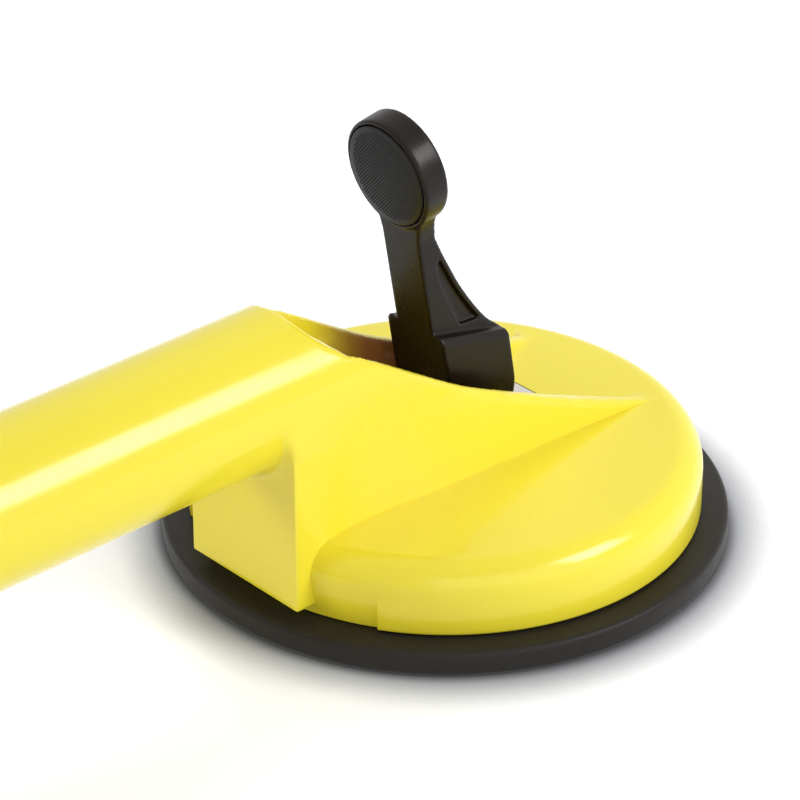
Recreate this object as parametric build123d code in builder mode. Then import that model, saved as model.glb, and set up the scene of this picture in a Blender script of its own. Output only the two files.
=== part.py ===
from build123d import *
from math import cos, pi, radians, sin
import os

os.makedirs("parts", exist_ok=True)

# Two-cup suction lifter for floor tiles. The origin is on the floor, midway between the cups.
# +X runs along the handle to cup a, +Z is up. Each cup piece is drawn on a cup at the origin.

# Clearances
fit_gap = 0.05  # radial clearance of pins, studs and bushes
soft_gap = 0.3  # between rubber and what stands on it
seat_gap = 0.2  # round a plate dropped into its pocket
overrun = 1.0  # cutters run past the faces that they cut

# Suction disc
cup_spacing = 230.0
disc_r = 60.0
disc_edge_h = 5.5
disc_edge_round = 1.2
lip_w = 8.0  # flat sealing ring under the rim
dish_depth = 1.2
dish_slope_w = 4.0
disc_boss_r = 24.0
disc_boss_h = 11.0
disc_boss_foot_r = 30.0
insert_bed_h = 7.5  # floor of the recess that holds the insert plate
nut_bed_h = 4.3

# Insert plate, nut and stud
insert_r = 19.5
insert_t = 2.5
insert_hub_r = 8.0
insert_hub_h = 1.7
insert_key_count = 6
insert_key_r = 2.0
insert_key_circle_r = 14.0
nut_flats = 13.0
nut_t = 3.2
stud_r = 4.0
stud_head_t = 6.2
stud_head_r = 4.5
stud_chamfer = 0.8
pin_r = 2.0
pin_end_out = 0.6  # each pin end stands out of the lever by this much
pin_chamfer = 0.4

# Dome
dome_r = 54.2
dome_h = 21.3
dome_crown = 0.6
dome_shoulder_r = 6.0
dome_wall = 3.0
ceiling_h = 17.0
ceiling_r = 31.5
relief_depth = 1.5
relief_lift = 1.8
relief_h = 6.6
relief_angle = 36.7  # from the handle side
rib_count = 8
rib_t = 2.0
rib_in_r = 32.5
rib_bottom_h = 9.5

# Neck, side walls and handle
handle_r = 15.5
handle_axis_h = 51.4
handle_wall = 3.5
neck_half_w = 16.1
neck_bottom_h = 8.0
neck_face_x = 55.5  # from the cup axis towards the handle
neck_core_wall = 3.5
neck_core_h = 43.0
neck_cove_r = 2.0  # concave round where the handle runs into the neck
wall_toe_x = 43.1
wall_toe_h = 19.4
crest_x = 45.8
wall_end_x = 46.0
ridge_shares = (
    (0, 0), (0.020, 0.057), (0.049, 0.105), (0.093, 0.156), (0.183, 0.265),
    (0.319, 0.427), (0.435, 0.554), (0.603, 0.701), (0.746, 0.817), (1, 1),
)  # (run, drop) from the crest to the toe

# Lever pocket, with its lead-in below the crest and the gutter over the dome
pocket_r = 13.2
pocket_back_x = 30.2
pocket_front_x = 25.0
pocket_corner_r = 3.0
pocket_floor_h = 20.0
lead_in_foot_h = 45.5
lead_in_shares = ((0, 0), (0.22, 0.2), (0.6, 0.58), (1, 1))
gutter_h = 21.7
gutter_corner_r = 8.0
wear_plate_t = 1.5
stud_hole_r = 6.0

# Stud guide
guide_barrel_r = 6.0
guide_flange_r = 8.5
guide_flange_t = 1.2

# Grip cover
cover_l = 104.0
cover_w = 12.0
cover_t = 1.6
cover_ledge_w = 1.5

# Cam lever, in its own upright frame with the pivot at zero
lever_lean = 10.0
lever_swing = 100.0
cam_rest_h = 8.8
cam_gap = 0.1
cam_steps = 16
lever_front = 5.5
lever_back = 12.4
block_w = 17.0
block_front_top = 20.6
block_back_top = 12.9
block_chamfer = 0.9
fork_w = 6.6
fork_top = 5.5
shank_w = 11.0
neck_z = 42.3
neck_back = 0.9  # forward of the pivot
shank_back_shares = ((0, 0), (0.22, 0.12), (0.44, 0.30), (0.65, 0.51), (0.79, 0.69), (0.90, 0.84), (1, 1))
flute_depth = 1.2
flute_inner_shares = ((0.26, 0.28), (0.20, 0.45), (0.27, 0.62), (0.42, 0.77), (0.72, 0.88))
flute_outer_shares = ((0.72, 0.88), (0.55, 0.70), (0.40, 0.52), (0.26, 0.28))
thumb_disc_x = 6.3
thumb_disc_z = 58.0
thumb_disc_w = 22.0
thumb_disc_h = 24.4
thumb_disc_t = 5.8
thumb_disc_chamfer = 0.5
pad_margin = 1.1
pad_gap = 0.2
pad_recess = 2.0
pad_proud = 0.3
throat_z = 41.4
throat_top_z = 50.9
throat_top_w = 17.6
throat_mid_w = 12.2
throat_mid_z = 46.5

# Worked out
cup_x = cup_spacing / 2
skirt_bottom_h = disc_edge_h + soft_gap
wear_top_h = pocket_floor_h + wear_plate_t
pivot_h = wear_top_h + cam_gap + cam_rest_h
cam_stroke = lever_back - cam_rest_h
cam_rate = cam_stroke / radians(lever_swing)
cup_plane = Plane((cup_x, 0, 0))
cup_side = Plane(origin=(cup_x, 0, 0), x_dir=(1, 0, 0), z_dir=(0, -1, 0))
lean = radians(lever_lean)
lever_side = Plane(origin=(0, 0, pivot_h), x_dir=(cos(lean), 0, sin(lean)), z_dir=(0, -1, 0))
thumb_face = Plane(
    origin=(-lever_front * cos(lean), 0, pivot_h - lever_front * sin(lean)),
    x_dir=(0, 1, 0),
    z_dir=(cos(lean), 0, sin(lean)),
)


def between(start, end, shares):
    """Points from start to end, each at its share of the run and of the drop."""
    return [
        (start[0] + run * (end[0] - start[0]), start[1] + drop * (end[1] - start[1]))
        for run, drop in shares
    ]


def place_on_cups(piece, name):
    """Write the piece on both cups. The pair faces each other across the handle."""
    for letter, place in (
        ("a", Location((cup_x, 0, 0))),
        ("b", Location((-cup_x, 0, 0), (0, 0, 180))),
    ):
        copy_on_cup = piece.moved(place)
        copy_on_cup.label = f"{name}_{letter}"
        export_step(copy_on_cup, f"parts/{name}_{letter}.step")


# Upper body of one cup: neck and side walls, round-topped like the handle, trimmed along the ridge
ridge_start = (-crest_x, handle_axis_h + handle_r)
ridge_end = (wall_toe_x, wall_toe_h)
with BuildSketch(Plane.YZ) as neck_section:
    with BuildLine():
        top = ThreePointArc(
            (-handle_r, handle_axis_h), (0, handle_axis_h + handle_r), (handle_r, handle_axis_h)
        )
        Polyline(top @ 1, (neck_half_w, neck_bottom_h), (-neck_half_w, neck_bottom_h), top @ 0)
    make_face()
with BuildPart() as upper_body:
    with BuildSketch(Plane.YZ.offset(cup_x - neck_face_x)):
        add(neck_section.sketch_local)
    extrude(amount=neck_face_x + wall_end_x)
    with BuildSketch(cup_side):
        with BuildLine():
            ridge = Spline(*between(ridge_start, ridge_end, ridge_shares))
            Polyline(
                ridge @ 1,
                (wall_end_x + overrun, wall_toe_h - overrun),
                (wall_end_x + overrun, ridge_start[1] + overrun),
                (-crest_x - overrun, ridge_start[1] + overrun),
                ridge @ 0,
            )
        make_face()
    extrude(amount=neck_half_w + overrun, both=True, mode=Mode.SUBTRACT)

# Cove below the handle, no wider than the neck
cove_start_x = cup_x - neck_face_x - neck_cove_r
with BuildPart() as neck_cove:
    with BuildSketch(Plane.XZ):
        with BuildLine():
            cove = RadiusArc(
                (cove_start_x, handle_axis_h - handle_r),
                (cove_start_x + neck_cove_r, handle_axis_h - handle_r - neck_cove_r),
                neck_cove_r,
            )
            Polyline(
                cove @ 1,
                (cove_start_x + neck_cove_r + overrun, handle_axis_h - handle_r - neck_cove_r),
                (cove_start_x + neck_cove_r + overrun, handle_axis_h - handle_r + handle_wall / 2),
                (cove_start_x, handle_axis_h - handle_r + handle_wall / 2),
                cove @ 0,
            )
        make_face()
    revolve(axis=Axis((0, 0, handle_axis_h), (1, 0, 0)))
    with BuildSketch(Plane.YZ):
        add(neck_section.sketch_local)
    extrude(amount=cup_x, mode=Mode.INTERSECT)

# Rib that backs the rubber, buried in the middle of the dome's wall
with BuildPart() as rib:
    with BuildSketch(Plane.XZ):
        with BuildLine():
            rib_arc = CenterArc(
                (dome_r - dome_shoulder_r, dome_h - dome_shoulder_r),
                dome_shoulder_r - dome_wall / 2,
                0,
                90,
            )
            Polyline(
                rib_arc @ 1,
                (rib_in_r, dome_h - dome_wall / 2),
                (rib_in_r, rib_bottom_h),
                (dome_r - dome_wall / 2, rib_bottom_h),
                rib_arc @ 0,
            )
        make_face()
    extrude(amount=rib_t / 2, both=True)

# Lead-in: the sloping floor from the crest down to the lever pocket
with BuildPart() as lead_in:
    with BuildSketch(cup_side):
        with BuildLine():
            slope = Spline(*between(ridge_start, (-pocket_back_x, lead_in_foot_h), lead_in_shares))
            Polyline(
                slope @ 1,
                (0, lead_in_foot_h),
                (0, ridge_start[1] + overrun),
                (-crest_x, ridge_start[1] + overrun),
                slope @ 0,
            )
        make_face()
    extrude(amount=pocket_r, both=True)

# Outline of the lever pocket: round at the back, square with small corners at the front
with BuildSketch() as pocket_outline:
    with BuildLine():
        pocket_back = ThreePointArc(
            (pocket_r - pocket_back_x, pocket_r), (-pocket_back_x, 0), (pocket_r - pocket_back_x, -pocket_r)
        )
        Polyline(pocket_back @ 1, (pocket_front_x, -pocket_r), (pocket_front_x, pocket_r), pocket_back @ 0)
    make_face()
    fillet(pocket_outline.vertices().group_by(Axis.X)[-1], pocket_corner_r)

# Gutter: the round-bottomed trough that the folded lever lies in
with BuildPart() as gutter:
    with BuildSketch(Plane.YZ.offset(cup_x)) as gutter_section:
        with Locations((0, gutter_h + handle_axis_h / 2)):
            Rectangle(2 * pocket_r, handle_axis_h)
        fillet(gutter_section.vertices().group_by(Axis.Y)[0], gutter_corner_r)
    extrude(amount=wall_end_x + overrun)

# Moulded body: two domes, two necks and the handle, drawn for cup a and mirrored
with BuildPart() as body_shell:
    with BuildSketch(cup_side):
        with BuildLine():
            foot = Line((0, skirt_bottom_h), (dome_r, skirt_bottom_h))
            skirt = Line(foot @ 1, (dome_r, dome_h - dome_shoulder_r))
            shoulder = TangentArc(skirt @ 1, (dome_r - dome_shoulder_r, dome_h), tangent=skirt % 1)
            crown = Line(shoulder @ 1, (0, dome_h + dome_crown))
            Line(crown @ 1, foot @ 0)
        make_face()
    revolve(axis=Axis((cup_x, 0, 0), (0, 0, 1)))
    # Relief round the foot of the skirt, on both sides of the neck
    with BuildSketch(cup_plane.offset(skirt_bottom_h)) as relief_sector:
        with BuildLine():
            rim = CenterArc((0, 0), dome_r + overrun, 180 - relief_angle, 2 * relief_angle)
            Polyline(rim @ 1, (0, 0), rim @ 0)
        make_face()
    extrude(amount=relief_lift, mode=Mode.SUBTRACT)
    with BuildSketch(cup_plane.offset(skirt_bottom_h)):
        add(relief_sector.sketch_local)
        Circle(dome_r - relief_depth, mode=Mode.SUBTRACT)
    extrude(amount=relief_h, mode=Mode.SUBTRACT)
    add(upper_body.part)
    # Hollow under the dome
    with BuildSketch(cup_side):
        with BuildLine():
            Polyline(
                (0, 0),
                (dome_r - dome_wall, 0),
                (dome_r - dome_wall, dome_h - dome_shoulder_r),
                (dome_r - dome_shoulder_r, dome_h - dome_wall),
                (ceiling_r, dome_h - dome_wall),
                (ceiling_r, ceiling_h),
                (0, ceiling_h),
                (0, 0),
            )
        make_face()
    revolve(axis=Axis((cup_x, 0, 0), (0, 0, 1)), mode=Mode.SUBTRACT)
    # Core of the neck, open into the hollow
    core_l = neck_face_x - pocket_back_x - 2 * neck_core_wall
    with BuildSketch(cup_plane.offset(ceiling_h - overrun)):
        with Locations((-pocket_back_x - neck_core_wall - core_l / 2, 0)):
            Rectangle(core_l, 2 * (pocket_r - overrun))
    extrude(amount=neck_core_h - ceiling_h, mode=Mode.SUBTRACT)
    with Locations((cup_x, 0, 0)):
        with PolarLocations(0, rib_count):
            add(rib.part)
    # Lever pocket, lead-in and gutter
    with BuildSketch(cup_plane.offset(pocket_floor_h)):
        add(pocket_outline.sketch)
    extrude(amount=handle_axis_h, mode=Mode.SUBTRACT)
    add(lead_in.part, mode=Mode.SUBTRACT)
    add(gutter.part, mode=Mode.SUBTRACT)
    with BuildSketch(cup_plane):
        Circle(stud_hole_r)
    extrude(amount=pocket_floor_h + overrun, mode=Mode.SUBTRACT)
    mirror(about=Plane.YZ)
    # Handle, its bore and the bed of the cover below it
    with BuildSketch(Plane.YZ):
        with Locations((0, handle_axis_h)):
            Circle(handle_r)
    extrude(amount=cup_x - neck_face_x, both=True)
    add(neck_cove.part)
    add(neck_cove.part.mirror(Plane.YZ))
    with BuildSketch(Plane.YZ):
        with Locations((0, handle_axis_h)):
            Circle(handle_r - handle_wall)
    extrude(amount=cup_x - neck_face_x + handle_wall, both=True, mode=Mode.SUBTRACT)
    with BuildSketch(Plane.YZ):
        with Locations((0, handle_axis_h - handle_r)):
            Rectangle(cover_w - 2 * cover_ledge_w, handle_r)
    extrude(amount=cover_l / 2 - cover_ledge_w, both=True, mode=Mode.SUBTRACT)
    with BuildSketch(Plane.YZ):
        with Locations((0, handle_axis_h)):
            Circle(handle_r + overrun)
            Circle(handle_r - cover_t, mode=Mode.SUBTRACT)
        with Locations((0, handle_axis_h - handle_r)):
            Rectangle(cover_w + 2 * fit_gap, handle_r, mode=Mode.INTERSECT)
    extrude(amount=cover_l / 2 + fit_gap, both=True, mode=Mode.SUBTRACT)
body_shell.part.label = "body_shell"
export_step(body_shell.part, "parts/body_shell.step")

# Cover that closes the bore from below
with BuildPart() as grip_cover:
    with BuildSketch(Plane.YZ.offset(-cover_l / 2)):
        with Locations((0, handle_axis_h)):
            Circle(handle_r)
            Circle(handle_r - cover_t + fit_gap, mode=Mode.SUBTRACT)
        with Locations((0, handle_axis_h - handle_r)):
            Rectangle(cover_w, handle_r, mode=Mode.INTERSECT)
    extrude(amount=cover_l)
grip_cover.part.label = "grip_cover"
export_step(grip_cover.part, "parts/grip_cover.step")

# Wear plate that the cam presses on
with BuildPart() as wear_plate:
    with BuildSketch(Plane.XY.offset(pocket_floor_h)):
        add(pocket_outline.sketch)
        offset(amount=-seat_gap, mode=Mode.REPLACE)
        Circle(stud_hole_r, mode=Mode.SUBTRACT)
    extrude(amount=wear_plate_t)
place_on_cups(wear_plate.part, "wear_plate")

# Flanged bush that guides the stud
with BuildPart() as stud_guide:
    with BuildSketch(Plane.XY.offset(ceiling_h - guide_flange_t)):
        Circle(guide_flange_r)
    extrude(amount=guide_flange_t)
    with BuildSketch(Plane.XY.offset(ceiling_h)):
        Circle(guide_barrel_r - fit_gap)
    extrude(amount=pocket_floor_h - ceiling_h)
    Hole(stud_r + fit_gap)
place_on_cups(stud_guide.part, "stud_guide")

# Rubber disc with its sealing lip, shallow dish and centre boss
with BuildPart() as suction_disc:
    with BuildSketch(Plane.XZ) as disc_section:
        with BuildLine():
            lip_in = disc_r - disc_edge_round - lip_w
            Polyline(
                (0, dish_depth),
                (lip_in - dish_slope_w, dish_depth),
                (lip_in, 0),
                (disc_r, 0),
                (disc_r, disc_edge_h),
                (disc_boss_foot_r, disc_edge_h),
                (disc_boss_r, disc_boss_h),
                (insert_r + soft_gap, disc_boss_h),
                (insert_r + soft_gap, insert_bed_h),
                (nut_flats / 2 / cos(pi / 6) + soft_gap, insert_bed_h),
                (nut_flats / 2 / cos(pi / 6) + soft_gap, nut_bed_h),
                (0, nut_bed_h),
                (0, dish_depth),
            )
        make_face()
        rim_corners = disc_section.vertices().group_by(Axis.X)[-1]
        fillet(rim_corners, disc_edge_round)
    revolve(axis=Axis.Z)
place_on_cups(suction_disc.part, "suction_disc")

# Steel plate bonded into the boss
with BuildPart() as insert_plate:
    with BuildSketch(Plane.XY.offset(insert_bed_h + soft_gap)):
        Circle(insert_r)
        with PolarLocations(insert_key_circle_r, insert_key_count):
            Circle(insert_key_r, mode=Mode.SUBTRACT)
    extrude(amount=insert_t)
    with BuildSketch(Plane.XY.offset(insert_bed_h + soft_gap + insert_t)):
        Circle(insert_hub_r)
    extrude(amount=insert_hub_h)
    Hole(stud_r + fit_gap)
place_on_cups(insert_plate.part, "insert_plate")

# Nut below the plate
with BuildPart() as stud_nut:
    with BuildSketch(Plane.XY.offset(insert_bed_h + soft_gap - nut_t)):
        RegularPolygon(nut_flats / 2, 6, major_radius=False)
        Circle(stud_r + fit_gap, mode=Mode.SUBTRACT)
    extrude(amount=nut_t)
place_on_cups(stud_nut.part, "stud_nut")

# Stud with a flat head that carries the pivot pin
stud_foot_h = insert_bed_h + soft_gap - nut_t
flats_bottom_h = pivot_h - lever_back - seat_gap
with BuildPart() as draw_stud:
    with BuildSketch(Plane.XY.offset(stud_foot_h)):
        Circle(stud_r)
    extrude(amount=pivot_h - stud_foot_h)
    chamfer(draw_stud.edges().group_by(Axis.Z)[0], stud_chamfer)
    with BuildSketch(Plane.XY.offset(flats_bottom_h)):
        Circle(stud_r + overrun)
        Rectangle(2 * (stud_r + overrun), stud_head_t, mode=Mode.SUBTRACT)
    extrude(amount=pivot_h, mode=Mode.SUBTRACT)
    with BuildSketch(Plane.XZ):
        with Locations((0, pivot_h)):
            Circle(stud_head_r)
    extrude(amount=stud_head_t / 2, both=True)
    with BuildSketch(Plane.XZ):
        with Locations((0, pivot_h)):
            Circle(pin_r + fit_gap)
    extrude(amount=stud_head_t, both=True, mode=Mode.SUBTRACT)
place_on_cups(draw_stud.part, "draw_stud")

# Pivot pin, held in the stud's eye
with BuildPart() as pivot_pin:
    with BuildSketch(Plane.XZ):
        with Locations((0, pivot_h)):
            Circle(pin_r)
    extrude(amount=block_w / 2 + pin_end_out, both=True)
    chamfer(pivot_pin.edges().filter_by(GeomType.CIRCLE), pin_chamfer)
place_on_cups(pivot_pin.part, "pivot_pin")


def cam_point(turn):
    """Point of the cam that touches the wear plate when the lever has turned this far."""
    down = turn - lean
    reach = cam_rest_h + cam_rate * turn
    return (
        reach * sin(down) + cam_rate * cos(down),
        -reach * cos(down) + cam_rate * sin(down),
    )


# Lever: cam block with a fork for the stud, fluted shank and thumb disc
swing = radians(lever_swing)
heel_z = -(cam_rest_h - lever_front * sin(lean)) / cos(lean)
shank_start = (lever_back, block_back_top)
shank_end = (-neck_back, neck_z)
with BuildPart() as lever:
    with BuildSketch(lever_side):
        with BuildLine():
            cam = Spline(
                *[cam_point(swing * step / cam_steps) for step in range(cam_steps + 1)],
                tangents=((cos(lean), -sin(lean)), (0, 1)),
            )
            Polyline(
                cam @ 1,
                (lever_back, block_back_top),
                (-lever_front, block_front_top),
                (-lever_front, heel_z),
                cam @ 0,
            )
        make_face()
    extrude(amount=block_w / 2, both=True)
    ledge = lever.faces().sort_by(Axis.Z)[-1]
    chamfer(ledge.edges().sort_by(Axis.Y)[0], block_chamfer)
    ledge = lever.faces().sort_by(Axis.Z)[-1]
    chamfer(ledge.edges().sort_by(Axis.Y)[-1], block_chamfer)
    with BuildSketch(lever_side):
        with BuildLine():
            back = Spline(*between(shank_start, shank_end, shank_back_shares))
            Polyline(
                back @ 1,
                (-neck_back, thumb_disc_z),
                (-lever_front, thumb_disc_z),
                (-lever_front, fork_top),
                (lever_back - overrun, fork_top),
                back @ 0,
            )
        make_face()
    extrude(amount=shank_w / 2, both=True)
    # Throat that widens from the shank into the thumb disc
    with BuildSketch(thumb_face):
        with BuildLine():
            right = ThreePointArc(
                (shank_w / 2, throat_z), (throat_mid_w / 2, throat_mid_z), (throat_top_w / 2, throat_top_z)
            )
            left = ThreePointArc(
                (-throat_top_w / 2, throat_top_z), (-throat_mid_w / 2, throat_mid_z), (-shank_w / 2, throat_z)
            )
            Line(right @ 1, left @ 0)
            Line(left @ 1, right @ 0)
        make_face()
    extrude(amount=lever_front - neck_back)
    with BuildSketch(thumb_face.offset(lever_front - thumb_disc_x)):
        with Locations((0, thumb_disc_z)):
            Ellipse(thumb_disc_w / 2, thumb_disc_h / 2)
    extrude(amount=thumb_disc_t)
    with BuildSketch(thumb_face.offset(lever_front - thumb_disc_x)):
        with Locations((0, thumb_disc_z)):
            Ellipse(thumb_disc_w / 2 - pad_margin + pad_gap, thumb_disc_h / 2 - pad_margin + pad_gap)
    extrude(amount=pad_recess, mode=Mode.SUBTRACT)
    # Flutes in both sides of the flared back
    with BuildSketch(lever_side.offset(shank_w / 2 - flute_depth)) as flute:
        with BuildLine():
            inner = Spline(*between(shank_start, shank_end, flute_inner_shares))
            outer = Spline(*between(shank_start, shank_end, flute_outer_shares))
        make_face()
    extrude(amount=flute_depth + overrun, mode=Mode.SUBTRACT)
    with BuildSketch(lever_side.offset(-shank_w / 2 - overrun)):
        add(flute.sketch_local)
    extrude(amount=flute_depth + overrun, mode=Mode.SUBTRACT)
    # Fork and pin bore
    with BuildSketch(lever_side):
        with Locations(((lever_back - lever_front) / 2, fork_top - cam_rest_h)):
            Rectangle(2 * (lever_back + lever_front), 2 * cam_rest_h)
    extrude(amount=fork_w / 2, both=True, mode=Mode.SUBTRACT)
    with BuildSketch(lever_side):
        Circle(pin_r + fit_gap)
    extrude(amount=block_w / 2 + overrun, both=True, mode=Mode.SUBTRACT)
place_on_cups(lever.part, "lever")

# Round insert under the thumb
with BuildPart() as thumb_pad:
    with BuildSketch(thumb_face.offset(lever_front - thumb_disc_x - pad_proud)):
        with Locations((0, thumb_disc_z)):
            Ellipse(thumb_disc_w / 2 - pad_margin, thumb_disc_h / 2 - pad_margin)
    extrude(amount=pad_recess + pad_proud)
    chamfer(thumb_pad.edges().sort_by(SortBy.LENGTH)[-1], pad_proud / 2)
place_on_cups(thumb_pad.part, "thumb_pad")
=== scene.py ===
"""Two-cup suction lifter for floor tiles, modelled around its CAD frame.

The origin is on the floor under the middle of the handle. +X runs along the handle to cup a,
+Z is up. Cup pieces are drawn round an upright axis at the origin and then put on both cups.
"""
import math

import bmesh
import bpy
from mathutils import Matrix, Vector


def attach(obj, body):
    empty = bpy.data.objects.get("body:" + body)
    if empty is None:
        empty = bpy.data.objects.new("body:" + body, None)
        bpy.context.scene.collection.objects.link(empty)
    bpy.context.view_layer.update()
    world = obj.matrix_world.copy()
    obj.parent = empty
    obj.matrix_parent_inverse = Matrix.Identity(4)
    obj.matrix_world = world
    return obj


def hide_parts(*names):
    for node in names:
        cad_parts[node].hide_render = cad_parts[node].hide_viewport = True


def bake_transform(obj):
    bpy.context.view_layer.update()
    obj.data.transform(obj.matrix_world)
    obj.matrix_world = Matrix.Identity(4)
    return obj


bl_info = {
    "name": "Tile Suction Lifter",
    "version": (1, 0, 0),
    "blender": (4, 5, 0),
    "location": "3D View > Sidebar > Suction Lifter",
    "description": "Models a two-cup suction lifter for floor tiles around its CAD frame",
    "category": "Add Mesh",
}

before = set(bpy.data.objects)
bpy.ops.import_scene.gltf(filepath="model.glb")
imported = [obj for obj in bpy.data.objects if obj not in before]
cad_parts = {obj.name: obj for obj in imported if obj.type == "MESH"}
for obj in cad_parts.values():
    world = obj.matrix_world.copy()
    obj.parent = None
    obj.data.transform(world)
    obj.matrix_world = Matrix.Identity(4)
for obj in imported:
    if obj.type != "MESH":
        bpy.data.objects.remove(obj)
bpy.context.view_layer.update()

MM = 0.001

# Meshing: the shortest edge that is kept, in metres, the angle of a sharp edge, in degrees, and
# the two steps of the fairing. The overrun is how far a cutting shape runs past what it cuts
SLIVER = 1e-5
SHARP_ANGLE = 38.0
SMOOTHING = 0.5
REGROWTH = -0.53
OVERRUN = 1.0

# The cups' axes, in millimetres from the middle of the handle
CUP_X = 115.0
CUP_PLACE = Matrix.Translation((CUP_X * MM, 0, 0))
CUPS = {"a": CUP_PLACE, "b": Matrix.Rotation(math.pi, 4, "Z") @ CUP_PLACE}

# Body, in millimetres from the cup's axis and from the floor, with angles in degrees. The neck's
# walls are stations of x, half width at the waist and half width above it. Shares are of a line's
# run and of its drop
SKIRT_BOTTOM = 5.8
DOME_CROWN = 0.6
SKIRT_ROUND = 0.8
RELIEF_DEPTH = 1.5
RELIEF_TOP = 15.3
RELIEF_ANGLE = 32.6
HANDLE_HEIGHT = 51.4
NECK_BOTTOM = 8.2
NECK_FLARE = 0.2
NECK_WAIST = 21.5
SLAB_TOP = 50.0
NECK_UPPER = 42.0
NECK_WALLS = (
    (-55.5, 16.3, 16.2), (-47, 15.6, 15.9), (-40, 14.9, 15.6), (-32, 15.0, 15.4), (-22, 16.3, 15.5),
    (-10, 17.1, 15.5), (0, 17.7, 15.5), (15, 18.4, 15.5), (30, 19.2, 15.5), (46, 20.2, 15.5),
)
NECK_FACE = 55.5
COVE_RADIUS = 2.0
COVE_ROOT = 2.0
COVE_SIDE = 0.1
CREST = (-45.8, 66.9)
TOE = (43.1, 20.6)
WALL_END = 46.0
RIDGE_SHARES = (
    (0, 0), (0.016, 0.058), (0.043, 0.108), (0.086, 0.158), (0.181, 0.268), (0.319, 0.433),
    (0.435, 0.563), (0.603, 0.715), (0.746, 0.834), (0.865, 0.918), (1, 1),
)
POCKET_RADIUS = 13.2
POCKET_BACK = 30.2
POCKET_FRONT = 25.0
POCKET_CORNER = 3.0
POCKET_FLOOR = 20.0
POCKET_STEP = 0.15
LEAD_IN_FOOT = 45.5
LEAD_IN_SHARES = (
    (0, 0), (0.006, 0.042), (0.077, 0.112), (0.186, 0.192), (0.308, 0.266), (0.436, 0.341),
    (0.564, 0.449), (0.724, 0.609), (1, 1),
)
GUTTER_FLOOR = 21.0
GUTTER_CORNER = 8.0
GUTTER_MOUTH = ((18, 13.2), (31, 14.8), (42, 16.8), (49, 17.6))
STUD_HOLE = 6.0
STUD_HOLE_TOP = 40.0
HOLLOW_RADIUS = 51.2
DOME_WALL = 3.0
CEILING_RADIUS = 31.5
CEILING = 17.0
COVER_HALF_LENGTH = 52.0
COVER_HALF_WIDTH = 6.0
COVER_THICKNESS = 1.6
COVER_GAP = 0.05
COVER_EDGE = 0.3
COVER_BED_SWEEP = 22.0

# Rubber discs: radius and height of points on the dish below, the top and the boss with its recess.
RUBBER_DISH = (
    (0, 1.2), (20, 1.2), (36, 1.2), (46.8, 1.2), (48.2, 0.75), (49.4, 0.3), (50.8, 0), (54, 0),
)
RUBBER_ROUND = 1.2
RUBBER_TOP = ((54, 0), (44, 0), (36, 0), (31.2, 0), (30, 0.35), (28.8, 1.1))
RUBBER_BOSS = (
    (25.2, 10.0), (24.2, 10.8), (23.4, 11), (20.2, 11), (19.8, 10.6), (19.8, 7.5), (7.81, 7.5),
    (7.81, 4.3), (0, 4.3),
)

# Lever, in its own upright frame with the pivot at zero
PIVOT_HEIGHT = 30.4
LEAN = math.radians(10)
SWING = math.radians(100)
CAM_REST = 8.8
CAM_STEPS = 24
LEVER_FRONT = 5.5
LEVER_BACK = 12.4
CAM_RATE = (LEVER_BACK - CAM_REST) / SWING
BLOCK_HALF_WIDTH = 8.5
BLOCK_FRONT_TOP = 20.6
BLOCK_BACK_TOP = 12.9
LEDGE_EDGE = 0.9
FORK_HALF_WIDTH = 3.3
FORK_TOP = 5.5
FORK_REACH = 20.0
PIN_BORE = 2.05
BORE_REACH = 12.0
SHANK_HALF_WIDTH = 5.5
NECK_BACK = 0.9
NECK_TOP = 42.3
SHANK_BACK_SHARES = (
    (0, 0), (0.22, 0.12), (0.44, 0.30), (0.65, 0.51), (0.79, 0.69), (0.90, 0.84), (1, 1),
)
THROAT = ((5.5, 41.4), (5.72, 44.1), (6.6, 47.5), (8.8, 50.9))
FLUTE_RIB = 1.3
FLUTE_SPAN = (17.2, 37.0)
FLUTE_FRONT = ((2.4, 18.8), (0.2, 26.5), (-1.1, 32.5), (-1.2, 37.6))
FLUTE_DEPTH = 1.2
DISC_FRONT = -6.6
DISC_CENTRE = 58.0
DISC_HALF_WIDTH = 11.6
DISC_HALF_HEIGHT = 12.2
DISC_THICKNESS = 6.1
DISC_EDGE = 0.45
LEVER_SHARP_ANGLE = 60.0
PAD_MARGIN = 1.1
PAD_GAP = 0.15
PAD_RECESS = 2.0
PAD_PROUD = 0.3
PAD_EDGE = 0.35
DOT_PITCH = 0.78
DOT_MARGIN = 1.2
DOT_BASE = 0.24
DOT_TIP = 0.1
DOT_DEPTH = 0.14
DOT_LIFT = 0.06

# Studio. A softbox has a name, azimuth and height in degrees, distance, width and length in metres,
# a brightness, and whether gloss mirrors it
LIT_POINT = Vector((0.09, 0, 0.03))
SOFTBOXES = (
    ("key_box", -60, 35, 1.0, 0.42, 0.40, 7.4, True),
    ("front_wall", -100, 18, 1.6, 2.4, 1.5, 0.71, True),
    ("back_box", 47, 48, 1.3, 0.9, 0.6, 3.4, False),
    ("left_box", 150, 14, 1.0, 0.3, 0.3, 6.3, False),
)
LAMP_WATTS = 4.0
SENSOR_WIDTH = 36.0
CLIP = (0.05, 20.0)
FLOOR_HALF_SIZE = 3000.0
FLOOR_DROP = 0.05
FLOOR_COLOUR = (0.88, 0.89, 0.93)
FLOOR_GLOW = 0.38
SHADOW_REACH = 0.020
SHADOW_TONES = ((0.45, 0.10), (0.6, 0.20), (0.8, 0.50), (0.94, 0.86), (1.0, 1.0))

# Painted shade: a brown darkening deep in the lever pockets, where the slots fall into shade, by
# distance from the cup's axis along x, in metres
POCKET_SHADE_START = (-0.026, -0.010)
POCKET_SHADE_END = (0.004, 0.012)
POCKET_SHADE_HALF_WIDTH = 0.0138
POCKET_SHADE_COLOUR = (0.48, 0.20, 0.07)

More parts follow.
